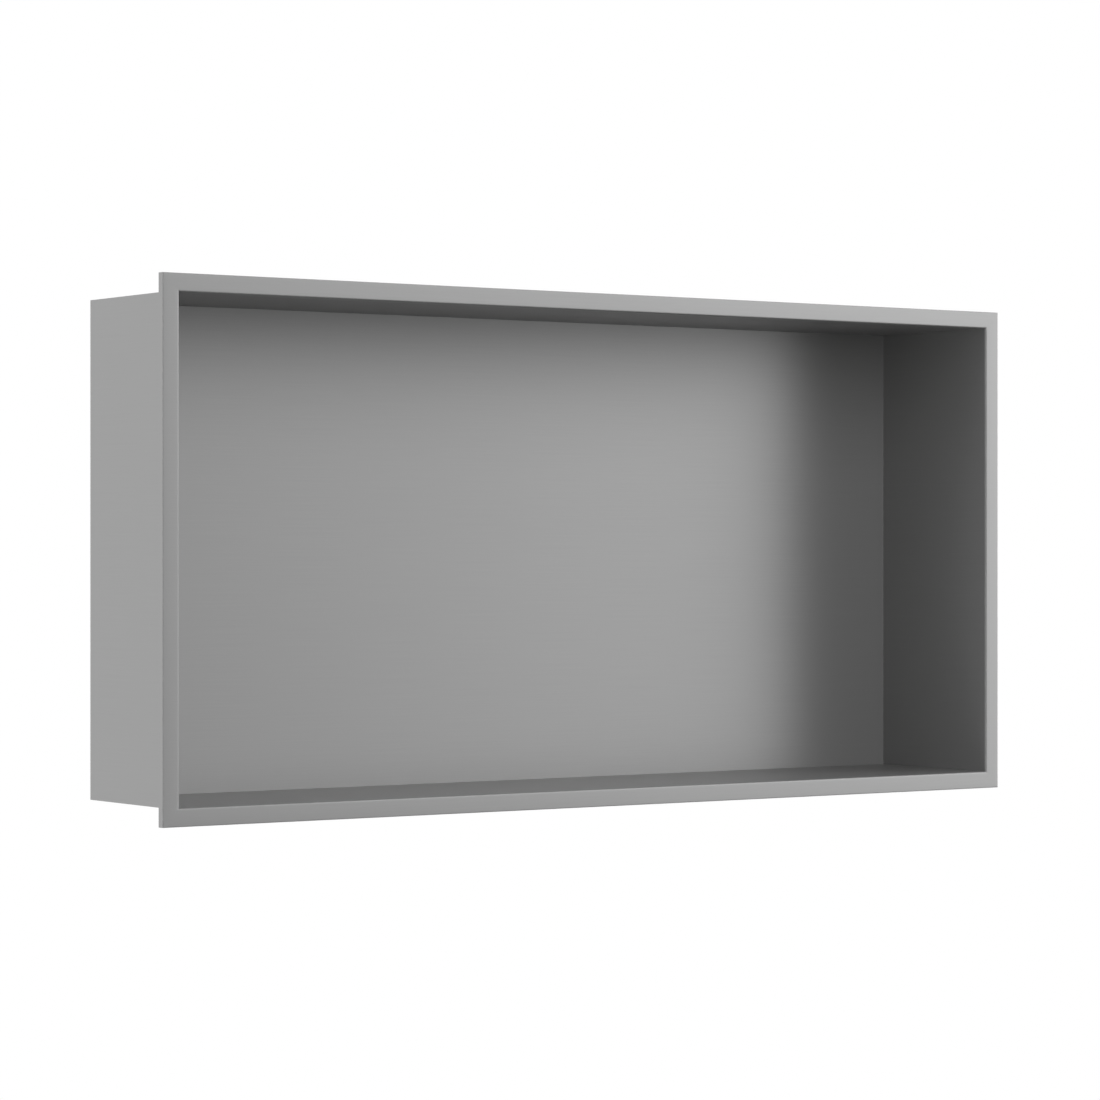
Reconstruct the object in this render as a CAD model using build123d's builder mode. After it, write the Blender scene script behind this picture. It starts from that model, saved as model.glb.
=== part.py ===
"""Shower niche insert: one stainless sheet, folded and corner-welded into a box with a face flange.

Millimetres, +Z up. The niche opens towards -Y and its box runs back along +Y into the wall. The origin
is the middle of the plane where the flange's lip seats on the finished wall.
"""

import os

from build123d import *

# Driving dimensions
FACE_WIDTH = 609.6  # across the flange, 24 in
FACE_HEIGHT = 304.8  # up the flange, 12 in
NICHE_DEPTH = 101.6  # front of the flange to the face of the back panel, 4 in
FLANGE_OVERLAP = 9.525  # how far the flange covers the wall beyond the box, 3/8 in
LIP_DEPTH = 4.7625  # front of the flange to the edge of its lip, 3/16 in
SHEET = 1.0  # thickness of the stainless sheet
FOLD_OUTSIDE = 0.5  # radius round the outside of a fold, kept crisp by a groove cut before folding
FOLD_INSIDE = 0.2  # radius left in the corner where the groove closes

# Sizes and places that follow from them
flange_reach = FLANGE_OVERLAP + SHEET
opening_width = FACE_WIDTH - 2 * flange_reach
opening_height = FACE_HEIGHT - 2 * flange_reach
flange_front = -LIP_DEPTH
flange_rear = flange_front + SHEET
back_face = flange_front + NICHE_DEPTH
back_rear = back_face + SHEET
back_turn = 2 * (FOLD_INSIDE + FOLD_OUTSIDE)
lip_inside = flange_reach - SHEET

with BuildPart() as niche_insert:
    # The mouth of the box, walked once round from the middle of its lower edge
    with BuildLine(Plane.XZ) as mouth:
        Polyline(
            (0, -opening_height / 2),
            (opening_width / 2, -opening_height / 2),
            (opening_width / 2, opening_height / 2),
            (-opening_width / 2, opening_height / 2),
            (-opening_width / 2, -opening_height / 2),
            close=True,
        )

    # The folded sheet in section, from the lip's edge over the flange and down the wall to the back panel.
    # Its x runs outwards from the wall's inner face, and its y runs into the wall.
    section_plane = Plane(origin=(0, 0, -opening_height / 2), x_dir=(0, 0, -1), z_dir=(1, 0, 0))
    with BuildSketch(section_plane):
        with BuildLine():
            room_side = FilletPolyline(
                (flange_reach, 0),
                (flange_reach, flange_front),
                (0, flange_front),
                (0, back_face),
                (-back_turn, back_face),
                radius=[FOLD_OUTSIDE, FOLD_OUTSIDE, FOLD_INSIDE],
            )
            wall_side = FilletPolyline(
                (-back_turn, back_rear),
                (SHEET, back_rear),
                (SHEET, flange_rear),
                (lip_inside, flange_rear),
                (lip_inside, 0),
                radius=[FOLD_OUTSIDE, FOLD_INSIDE, FOLD_INSIDE],
            )
            Line(room_side @ 1, wall_side @ 0)
            Line(wall_side @ 1, room_side @ 0)
        make_face()

    # Carried round the mouth, with the flange, lip and walls mitred where the corner welds are ground flush
    sweep(path=mouth.wire(), transition=Transition.RIGHT)

    # The flat of the back panel, between the four folds
    with BuildSketch(Plane.XZ.offset(-back_face)):
        Rectangle(opening_width - 2 * back_turn, opening_height - 2 * back_turn)
    extrude(amount=-SHEET)

niche_insert.part.label = "niche_insert"

os.makedirs("parts", exist_ok=True)
export_step(niche_insert.part, "parts/niche_insert.step")
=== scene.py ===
"""Brushed stainless shower niche insert, in soft studio light."""
import math

import bmesh
import bpy
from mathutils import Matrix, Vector


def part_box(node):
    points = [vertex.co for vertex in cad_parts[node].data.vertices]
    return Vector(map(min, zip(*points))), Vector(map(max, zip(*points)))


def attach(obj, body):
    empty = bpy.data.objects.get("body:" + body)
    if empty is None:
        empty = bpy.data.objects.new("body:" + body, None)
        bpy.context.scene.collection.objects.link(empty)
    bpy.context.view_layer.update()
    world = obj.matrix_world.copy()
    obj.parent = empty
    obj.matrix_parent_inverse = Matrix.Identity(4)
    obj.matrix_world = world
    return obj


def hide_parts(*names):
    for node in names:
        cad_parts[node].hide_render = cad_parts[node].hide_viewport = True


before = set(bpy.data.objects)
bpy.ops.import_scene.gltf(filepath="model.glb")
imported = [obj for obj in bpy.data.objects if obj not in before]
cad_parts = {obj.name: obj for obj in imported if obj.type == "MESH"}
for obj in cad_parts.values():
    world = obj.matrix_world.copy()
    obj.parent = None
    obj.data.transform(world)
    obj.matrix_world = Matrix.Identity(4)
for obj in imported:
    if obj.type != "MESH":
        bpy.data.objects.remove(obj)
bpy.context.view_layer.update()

# Sizes of the folded sheet, in metres. The overall sizes come from the frame.
NICHE_NODE = "niche_insert"
SHEET = 0.001
FLANGE_OVERLAP = 0.009525
FOLD_OUTSIDE = 0.0005
MOUTH_RADIUS = 0.0011  # the fold between flange and wall, a little softer than the others
FOLD_INSIDE = 0.0002
EDGE_BREAK = 0.0002
FLANGE_SLOPE = math.radians(1.0)  # how far the flange's front leans back on each side of its crown
FOLD_STEPS = 8
MOUTH_CORNERS = 4
WELD_DISTANCE = 0.000002
CREASE = math.radians(0.6)  # faces of two sides that meet flatter than this stay smooth
FLAT_WEIGHT = 100  # the flat panels alone set the normals along their edges

# The camera stands level with the middle of the niche, to the left of it
PHOTO_SIDE = 1100
FOCAL_PIXELS = 3708
SENSOR = 36.0
CAMERA_PLACE = Vector((-1.29384, -1.79226, 0.0))
CAMERA_YAW = math.radians(-34.919)

# Satin finish. The grain's lines are far finer than the sheet is thick.
STEEL_DARK = (0.32, 0.32, 0.32, 1)
STEEL_LIGHT = (0.34, 0.34, 0.34, 1)
STEEL_METALLIC = 0.72
STEEL_ANISOTROPY = 0.5
GLOSS_TURN = 0.25  # a quarter turn, so that highlights spread across the grain
GLOSS_SMOOTH = 0.40
GLOSS_ROUGH = 0.43
GRAIN_LENGTH = 0.06
GRAIN_WIDTH = 0.0006
CLOUD_LENGTH = 0.3
CLOUD_WIDTH = 0.05
GRAIN_DEPTH = 0.000004

# The studio, in metres and degrees. Azimuths run from straight in front of the niche towards its right.
FLOOR_LEVEL = -1.2
FLOOR_RADIUS = 5.0
FLOOR_FADE = 1.5
FLOOR_SEGMENTS = 64
FLOOR_COLOUR = (0.5, 0.5, 0.5, 1)
FLOOR_GLOW = 0.68
EVEN_LIGHT = 0.05

# Cards that show in the steel and nowhere else, where a strength of 1 is white
CARD_DISTANCE = 12.0
CARD_LEVEL = -1.19
CARD_STEP = 5
HIGH_CARD = {"azimuths": (-75, 90), "elevations": (17, 89), "strength": 0.4}
LEFT_SCREEN = {"azimuths": (-75, -15), "elevations": (-15, 17), "strength": 0.05}
FRONT_CARD = {"azimuths": (-15, 10), "elevations": (-15, 17), "strength": 0.6}
LOW_CARD = {"azimuths": (-75, 10), "elevations": (-89, -15), "strength": 0.5}
RIGHT_SCREEN = {"azimuths": (10, 90), "elevations": (-89, 17), "strength": 0.0}

# The key light, which shows in the steel just in front of the cards
SOFT_BOX_DISTANCE = 11.5
SOFT_BOX_LEVEL = -1.18
SOFT_BOX = {"azimuths": (2, 116), "elevations": (-39, 63), "strength": 2.8}

# Lights that do not show in the steel: one from the front, and one that grazes the face from the left
FRONT_LIGHT = {"azimuths": (-12, 0), "elevations": (-5, 45), "distance": 4.0, "strength": 16.5}
LEFT_LIGHT = {"azimuths": (-90, -80), "elevations": (-40, 45), "distance": 1.8, "strength": 11.0}


def link(tree, source, target):
    tree.links.new(source, target)


def node(tree, kind, **settings):
    made = tree.nodes.new(kind)
    for name, value in settings.items():
        setattr(made, name, value)
    return made


def feed(tree, socket, value):
    """Links a socket to a socket, or sets a plain value on it."""
    if isinstance(value, bpy.types.NodeSocket):
        link(tree, value, socket)
    else:
        socket.default_value = value


def maths(tree, operation, *values):
    """One Math node. Each value is a number or a socket."""
    made = node(tree, "ShaderNodeMath", operation=operation)
    for socket, value in zip(made.inputs, values):
        feed(tree, socket, value)
    return made.outputs[0]


def split(tree, vector):
    made = node(tree, "ShaderNodeSeparateXYZ")
    link(tree, vector, made.inputs[0])
    return made.outputs


def joined_xyz(tree, *values):
    made = node(tree, "ShaderNodeCombineXYZ")
    for socket, value in zip(made.inputs, values):
        feed(tree, socket, value)
    return made.outputs[0]


def sheet_section(low, high):
    """The folded sheet in section, as a poly curve whose point radius is the fold's radius there.

    Its X runs outwards from the inner face of a wall, and its Y runs into the wall."""
    reach = FLANGE_OVERLAP + SHEET
    front = low.y
    back = high.y - SHEET
    turn = 2 * (FOLD_INSIDE + FOLD_OUTSIDE)

    # The flange's front is crowned: two slopes, rounded into each other over all that its folds leave
    slope = math.tan(FLANGE_SLOPE)
    crown_radius = (reach / 2 - MOUTH_RADIUS) / slope
    slopes_meet = front - crown_radius * (1 / math.cos(FLANGE_SLOPE) - 1)
    flange_edge = slopes_meet + slope * reach / 2

    corners = [
        (-turn, high.y, 0),
        (SHEET, high.y, FOLD_OUTSIDE),
        (SHEET, front + SHEET, FOLD_INSIDE),
        (reach - SHEET, front + SHEET, FOLD_INSIDE),
        (reach - SHEET, 0, EDGE_BREAK),
        (reach, 0, EDGE_BREAK),
        (reach, flange_edge, FOLD_OUTSIDE),
        (reach / 2, slopes_meet, crown_radius),
        (0, flange_edge, MOUTH_RADIUS),
        (0, back, FOLD_INSIDE),
        (-turn, back, 0),
    ]
    curve = bpy.data.curves.new("sheet_section", "CURVE")
    curve.dimensions = "2D"
    spline = curve.splines.new("POLY")
    spline.points.add(len(corners) - 1)
    for point, (outwards, depth, radius) in zip(spline.points, corners):
        point.co = (outwards, depth, 0, 1)
        point.radius = radius
    section = bpy.data.objects.new("sheet_section", curve)
    bpy.context.scene.collection.objects.link(section)
    return section


def folded_box_tree():
    """Carries a section round a rectangular mouth, mitred at the corners, and closes the back."""
    tree = bpy.data.node_groups.new("folded_box", "GeometryNodeTree")
    sockets = tree.interface
    sockets.new_socket("Geometry", in_out="INPUT", socket_type="NodeSocketGeometry")
    sockets.new_socket("Section", in_out="INPUT", socket_type="NodeSocketObject")
    sockets.new_socket("Mouth Width", in_out="INPUT", socket_type="NodeSocketFloat")
    sockets.new_socket("Mouth Height", in_out="INPUT", socket_type="NodeSocketFloat")
    sockets.new_socket("Fold Steps", in_out="INPUT", socket_type="NodeSocketInt")
    sockets.new_socket("Finish", in_out="INPUT", socket_type="NodeSocketMaterial")
    sockets.new_socket("Geometry", in_out="OUTPUT", socket_type="NodeSocketGeometry")
    entry = node(tree, "NodeGroupInput")
    width = entry.outputs["Mouth Width"]
    height = entry.outputs["Mouth Height"]

    # The section with its folds rounded
    section = node(tree, "GeometryNodeObjectInfo")
    link(tree, entry.outputs["Section"], section.inputs["Object"])
    rounded = node(tree, "GeometryNodeFilletCurve", mode="POLY")
    link(tree, section.outputs["Geometry"], rounded.inputs["Curve"])
    link(tree, entry.outputs["Fold Steps"], rounded.inputs["Count"])
    link(tree, node(tree, "GeometryNodeInputRadius").outputs["Radius"], rounded.inputs["Radius"])
    strip = rounded.outputs["Curve"]
    rows = node(tree, "GeometryNodeAttributeDomainSize", component="CURVE")
    link(tree, strip, rows.inputs["Geometry"])
    row_count = rows.outputs["Point Count"]
    place = node(tree, "GeometryNodeInputPosition").outputs["Position"]
    along = node(tree, "GeometryNodeSplineParameter").outputs["Length"]

    def sample(curve, value, data_type, at):
        taken = node(tree, "GeometryNodeSampleIndex", data_type=data_type, domain="POINT")
        link(tree, curve, taken.inputs["Geometry"])
        link(tree, value, taken.inputs["Value"])
        feed(tree, taken.inputs["Index"], at)
        return taken.outputs["Value"]

    def from_middle(mouth_side, outwards):
        return maths(tree, "ADD", maths(tree, "DIVIDE", mouth_side, 2), outwards)

    # A grid with one row for each point of the section and one column for each corner of the mouth
    walls = node(tree, "GeometryNodeMeshGrid")
    columns = MOUTH_CORNERS + 1
    link(tree, row_count, walls.inputs["Vertices X"])
    walls.inputs["Vertices Y"].default_value = columns
    index = node(tree, "GeometryNodeInputIndex").outputs["Index"]
    row = maths(tree, "FLOOR", maths(tree, "DIVIDE", index, columns))
    column = maths(tree, "MODULO", maths(tree, "MODULO", index, columns), MOUTH_CORNERS)
    unit_mouth = node(tree, "GeometryNodeCurvePrimitiveQuadrilateral")
    unit_mouth.inputs["Width"].default_value = 2
    unit_mouth.inputs["Height"].default_value = 2
    corner = split(tree, sample(unit_mouth.outputs["Curve"], place, "FLOAT_VECTOR", column))
    drawn = split(tree, sample(strip, place, "FLOAT_VECTOR", row))
    across = maths(tree, "MULTIPLY", corner["X"], from_middle(width, drawn["X"]))
    upwards = maths(tree, "MULTIPLY", corner["Y"], from_middle(height, drawn["X"]))
    set_walls = node(tree, "GeometryNodeSetPosition")
    link(tree, walls.outputs["Mesh"], set_walls.inputs["Geometry"])
    link(tree, joined_xyz(tree, across, drawn["Y"], upwards), set_walls.inputs["Position"])

    # Each face keeps which side of the box it is on, and each point its way over the folds, for the grain
    keep_side = node(tree, "GeometryNodeStoreNamedAttribute", data_type="INT", domain="FACE")
    keep_side.inputs["Name"].default_value = "side"
    link(tree, set_walls.outputs["Geometry"], keep_side.inputs["Geometry"])
    link(tree, maths(tree, "MODULO", index, MOUTH_CORNERS), keep_side.inputs["Value"])
    keep_way = node(tree, "GeometryNodeStoreNamedAttribute", data_type="FLOAT", domain="POINT")
    keep_way.inputs["Name"].default_value = "over_folds"
    link(tree, keep_side.outputs["Geometry"], keep_way.inputs["Geometry"])
    link(tree, sample(strip, along, "FLOAT", row), keep_way.inputs["Value"])

    # The two faces of the back panel
    parts = [keep_way.outputs["Geometry"]]
    for end in (0, maths(tree, "SUBTRACT", row_count, 1)):
        rim = split(tree, sample(strip, place, "FLOAT_VECTOR", end))
        panel = node(tree, "GeometryNodeMeshGrid")
        link(tree, maths(tree, "MULTIPLY", 2, from_middle(width, rim["X"])), panel.inputs["Size X"])
        link(tree, maths(tree, "MULTIPLY", 2, from_middle(height, rim["X"])), panel.inputs["Size Y"])
        panel.inputs["Vertices X"].default_value = 2
        panel.inputs["Vertices Y"].default_value = 2
        stood = node(tree, "GeometryNodeTransform")
        stood.inputs["Rotation"].default_value = (math.radians(90), 0, 0)
        link(tree, panel.outputs["Mesh"], stood.inputs["Geometry"])
        link(tree, joined_xyz(tree, 0, rim["Y"], 0), stood.inputs["Translation"])
        parts.append(stood.outputs["Geometry"])

    joined = node(tree, "GeometryNodeJoinGeometry")
    for part in parts:
        link(tree, part, joined.inputs["Geometry"])
    welded = node(tree, "GeometryNodeMergeByDistance")
    link(tree, joined.outputs["Geometry"], welded.inputs["Geometry"])
    welded.inputs["Distance"].default_value = WELD_DISTANCE
    realized = node(tree, "GeometryNodeRealizeInstances")
    link(tree, welded.outputs["Geometry"], realized.inputs["Geometry"])
    finished = node(tree, "GeometryNodeSetMaterial")
    link(tree, realized.outputs["Geometry"], finished.inputs["Geometry"])
    link(tree, entry.outputs["Finish"], finished.inputs["Material"])
    link(tree, finished.outputs["Geometry"], node(tree, "NodeGroupOutput").inputs[0])
    return tree


def set_inputs(modifier, values):
    """Sets a tree's named inputs by the identifiers of their sockets."""
    for item in modifier.node_group.interface.items_tree:
        if item.in_out == "INPUT" and item.name in values:
            modifier[item.identifier] = values[item.name]


def niche_sheet(finish):
    low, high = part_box(NICHE_NODE)
    section = sheet_section(low, high)
    reach = FLANGE_OVERLAP + SHEET
    start = bpy.data.objects.new("niche_start", bpy.data.meshes.new("niche_start"))
    bpy.context.scene.collection.objects.link(start)
    modifier = start.modifiers.new("folded_box", "NODES")
    modifier.node_group = folded_box_tree()
    set_inputs(
        modifier,
        {
            "Section": section,
            "Mouth Width": high.x - low.x - 2 * reach,
            "Mouth Height": high.z - low.z - 2 * reach,
            "Fold Steps": FOLD_STEPS,
            "Finish": finish,
        },
    )
    shaped = start.evaluated_get(bpy.context.evaluated_depsgraph_get())
    mesh = bpy.data.meshes.new_from_object(shaped)
    mesh.name = "niche_sheet"
    for scrap in (start, section):
        bpy.data.objects.remove(scrap)
    lay_grain(mesh)
    mesh.materials.clear()
    mesh.materials.append(finish)
    sheet = bpy.data.objects.new("niche_sheet", mesh)
    bpy.context.scene.collection.objects.link(sheet)
    flats = sheet.modifiers.new("flat_panels", "WEIGHTED_NORMAL")
    flats.mode = "FACE_AREA"
    flats.weight = FLAT_WEIGHT
    flats.keep_sharp = True
    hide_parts(NICHE_NODE)
    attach(sheet, "root")
    return sheet


def lay_grain(mesh):
    """Turns the faces outwards, keeps the mitres sharp and the folds smooth, and maps the grain.

    The grain runs one way over the whole blank, along the niche. So U follows X on the back panel and the
    long sides, and runs over the folds on the two short sides."""
    bm = bmesh.new()
    bm.from_mesh(mesh)
    bmesh.ops.recalc_face_normals(bm, faces=bm.faces)
    side = bm.faces.layers.int["side"]
    over = bm.verts.layers.float["over_folds"]
    grain = bm.loops.layers.uv.new("grain")
    panels = sorted(bm.faces, key=lambda f: f.calc_area())[-2:]
    for f in bm.faces:
        f.smooth = True
        f.material_index = 0
        on_short_side = f[side] % 2 == 1
        for loop in f.loops:
            p = loop.vert.co
            way = loop.vert[over]
            if f in panels:
                loop[grain].uv = (p.x, p.z)
            elif on_short_side:
                loop[grain].uv = (way, p.z)
            else:
                loop[grain].uv = (p.x, way)
    for e in bm.edges:
        one, other = e.link_faces
        e.smooth = one[side] == other[side] or e.calc_face_angle() < CREASE
    bm.to_mesh(mesh)
    bm.free()


def stretched_noise(tree, vector, length, width, detail):
    """Noise drawn out along U, in lines of about the given length and width."""
    scaled = node(tree, "ShaderNodeMapping", vector_type="TEXTURE")
    link(tree, vector, scaled.inputs["Vector"])
    scaled.inputs["Scale"].default_value = (length, width, 1)
    made = node(tree, "ShaderNodeTexNoise", noise_dimensions="2D")
    link(tree, scaled.outputs["Vector"], made.inputs["Vector"])
    made.inputs["Scale"].default_value = 1
    made.inputs["Detail"].default_value = detail
    return made.outputs["Fac"]


def satin_stainless():
    """Steel brushed along the niche: fine lines in colour, gloss and height, and slow clouds in the gloss."""
    finish = bpy.data.materials.new("satin_stainless")
    finish.use_nodes = True
    tree = finish.node_tree
    steel = tree.nodes["Principled BSDF"]
    steel.inputs["Metallic"].default_value = STEEL_METALLIC
    steel.inputs["Anisotropic"].default_value = STEEL_ANISOTROPY
    steel.inputs["Anisotropic Rotation"].default_value = GLOSS_TURN

    grain = node(tree, "ShaderNodeUVMap", uv_map="grain").outputs["UV"]
    lines = stretched_noise(tree, grain, GRAIN_LENGTH, GRAIN_WIDTH, detail=3)
    clouds = stretched_noise(tree, grain, CLOUD_LENGTH, CLOUD_WIDTH, detail=1)

    colour = node(tree, "ShaderNodeMix", data_type="RGBA")
    link(tree, lines, colour.inputs["Factor"])
    colour.inputs["A"].default_value = STEEL_DARK
    colour.inputs["B"].default_value = STEEL_LIGHT
    link(tree, colour.outputs["Result"], steel.inputs["Base Color"])

    gloss = node(tree, "ShaderNodeMapRange")
    link(tree, maths(tree, "MULTIPLY", maths(tree, "ADD", lines, clouds), 0.5), gloss.inputs["Value"])
    gloss.inputs["To Min"].default_value = GLOSS_SMOOTH
    gloss.inputs["To Max"].default_value = GLOSS_ROUGH
    link(tree, gloss.outputs["Result"], steel.inputs["Roughness"])

    scratches = node(tree, "ShaderNodeBump")
    scratches.inputs["Distance"].default_value = GRAIN_DEPTH
    link(tree, lines, scratches.inputs["Height"])
    link(tree, scratches.outputs["Normal"], steel.inputs["Normal"])

    along = node(tree, "ShaderNodeTangent", direction_type="UV_MAP", uv_map="grain")
    link(tree, along.outputs["Tangent"], steel.inputs["Tangent"])
    return finish


def camera():
    data = bpy.data.cameras.new("camera")
    data.sensor_width = SENSOR
    data.lens = SENSOR * FOCAL_PIXELS / PHOTO_SIDE
    stand = bpy.data.objects.new("camera", data)
    stand.location = CAMERA_PLACE
    stand.rotation_euler = (math.radians(90), 0, CAMERA_YAW)
    bpy.context.scene.collection.objects.link(stand)
    bpy.context.scene.camera = stand


def backdrop_rays(tree):
    """1 to the rays that show the backdrop, straight or in a reflection, and 0 to those that gather light."""
    rays = node(tree, "ShaderNodeLightPath").outputs
    straight = maths(tree, "MAXIMUM", rays["Is Camera Ray"], rays["Is Transmission Ray"])
    return maths(tree, "MAXIMUM", straight, rays["Is Glossy Ray"])


def white_world():
    """White all round where it is seen, and a faint even light."""
    world = bpy.data.worlds.new("white_studio")
    world.use_nodes = True
    tree = world.node_tree
    white = tree.nodes["Background"]
    white.inputs["Color"].default_value = (1, 1, 1, 1)
    link(tree, maths(tree, "MAXIMUM", backdrop_rays(tree), EVEN_LIGHT), white.inputs["Strength"])
    world.cycles.sampling_method = "NONE"
    bpy.context.scene.world = world


def stage_piece(name, bm, material):
    mesh = bpy.data.meshes.new(name)
    bm.to_mesh(mesh)
    bm.free()
    mesh.materials.append(material)
    piece = bpy.data.objects.new(name, mesh)
    bpy.context.scene.collection.objects.link(piece)
    return piece


def pale_floor():
    """A pale disc far below the niche, which fades out at its rim into the white.

    It is lit by the lamps, and glows where it is seen, as the white round it does. It throws no light up
    into the niche."""
    material = bpy.data.materials.new("pale_floor")
    material.use_nodes = True
    tree = material.node_tree
    surface = tree.nodes["Principled BSDF"]
    surface.inputs["Base Color"].default_value = FLOOR_COLOUR
    surface.inputs["Roughness"].default_value = 1
    surface.inputs["Specular IOR Level"].default_value = 0
    surface.inputs["Emission Color"].default_value = (1, 1, 1, 1)
    link(tree, maths(tree, "MULTIPLY", backdrop_rays(tree), FLOOR_GLOW), surface.inputs["Emission Strength"])
    place = node(tree, "ShaderNodeTexCoord").outputs["Object"]
    from_middle = node(tree, "ShaderNodeVectorMath", operation="LENGTH")
    link(tree, place, from_middle.inputs[0])
    fade = node(tree, "ShaderNodeMapRange", interpolation_type="SMOOTHSTEP")
    link(tree, from_middle.outputs["Value"], fade.inputs["Value"])
    fade.inputs["From Min"].default_value = FLOOR_RADIUS - FLOOR_FADE
    fade.inputs["From Max"].default_value = FLOOR_RADIUS
    fade.inputs["To Min"].default_value = 1
    fade.inputs["To Max"].default_value = 0
    link(tree, fade.outputs["Result"], surface.inputs["Alpha"])
    bm = bmesh.new()
    bmesh.ops.create_circle(bm, cap_ends=True, radius=FLOOR_RADIUS, segments=FLOOR_SEGMENTS)
    floor = stage_piece("pale_floor", bm, material)
    floor.location.z = FLOOR_LEVEL
    floor.visible_diffuse = False


def toward(azimuth, elevation):
    a = math.radians(azimuth)
    e = math.radians(elevation)
    return Vector((math.sin(a) * math.cos(e), -math.cos(a) * math.cos(e), math.sin(e)))


def even_steps(start, end):
    count = round((end - start) / CARD_STEP)
    return [start + (end - start) * i / count for i in range(count + 1)]


def studio_card(name, azimuths, elevations, distance, level, material):
    """A curved card round the niche, laid on the floor where it would reach below a level.

    It neither stands in a view nor shades the floor. Its UV map runs from -1 to 1 both ways."""
    bm = bmesh.new()
    spread = bm.loops.layers.uv.new("spread")
    across = even_steps(*azimuths)
    upwards = even_steps(*elevations)
    rows = []
    for elevation in upwards:
        row = []
        for azimuth in across:
            way = toward(azimuth, elevation)
            reach = min(distance, level / way.z) if way.z < 0 else distance
            row.append(bm.verts.new(way * reach))
        rows.append(row)
    for j in range(len(upwards) - 1):
        for i in range(len(across) - 1):
            corners = ((j, i + 1), (j, i), (j + 1, i), (j + 1, i + 1))
            face = bm.faces.new([rows[row][column] for row, column in corners])
            for loop, (row, column) in zip(face.loops, corners):
                u = 2 * column / (len(across) - 1) - 1
                v = 2 * row / (len(upwards) - 1) - 1
                loop[spread].uv = (u, v)
    card = stage_piece(name, bm, material)
    card.visible_camera = False
    card.visible_shadow = False
    return card


def glow(name, strength):
    material = bpy.data.materials.new(name)
    material.use_nodes = True
    tree = material.node_tree
    light = node(tree, "ShaderNodeEmission")
    light.inputs["Strength"].default_value = strength
    link(tree, light.outputs["Emission"], tree.nodes["Material Output"].inputs["Surface"])
    return material


def mirrored_card(name, azimuths, elevations, strength):
    """A card that only the steel's reflections see."""
    material = glow(name, strength)
    material.cycles.emission_sampling = "NONE"
    card = studio_card(name, azimuths, elevations, CARD_DISTANCE, CARD_LEVEL, material)
    card.visible_diffuse = False


def soft_light(name, azimuths, elevations, distance, strength):
    """A large even light that does not show in the steel's reflections."""
    card = studio_card(name, azimuths, elevations, distance, CARD_LEVEL, glow(name, strength))
    card.visible_glossy = False


def soft_box(name, azimuths, elevations, strength):
    """The key light, brightest in its middle and fading out to nothing at its rim."""
    material = glow(name, strength)
    material.cycles.emission_sampling = "NONE"
    tree = material.node_tree
    from_middle = node(tree, "ShaderNodeVectorMath", operation="LENGTH")
    link(tree, node(tree, "ShaderNodeUVMap", uv_map="spread").outputs["UV"], from_middle.inputs[0])
    fade = node(tree, "ShaderNodeMapRange", interpolation_type="SMOOTHSTEP")
    link(tree, from_middle.outputs["Value"], fade.inputs["Value"])
    fade.inputs["To Min"].default_value = 1
    fade.inputs["To Max"].default_value = 0
    clear = node(tree, "ShaderNodeBsdfTransparent")
    blend = node(tree, "ShaderNodeMixShader")
    link(tree, fade.outputs["Result"], blend.inputs["Fac"])
    link(tree, clear.outputs["BSDF"], blend.inputs[1])
    link(tree, tree.nodes["Emission"].outputs["Emission"], blend.inputs[2])
    link(tree, blend.outputs["Shader"], tree.nodes["Material Output"].inputs["Surface"])
    card = studio_card(name, azimuths, elevations, SOFT_BOX_DISTANCE, SOFT_BOX_LEVEL, material)
    card.visible_diffuse = False


niche_sheet(satin_stainless())
camera()
white_world()
pale_floor()
mirrored_card("high_card", **HIGH_CARD)
mirrored_card("left_screen", **LEFT_SCREEN)
mirrored_card("front_card", **FRONT_CARD)
mirrored_card("low_card", **LOW_CARD)
mirrored_card("right_screen", **RIGHT_SCREEN)
soft_box("soft_box", **SOFT_BOX)
soft_light("front_light", **FRONT_LIGHT)
soft_light("left_light", **LEFT_LIGHT)
bpy.context.scene.view_settings.view_transform = "Standard"
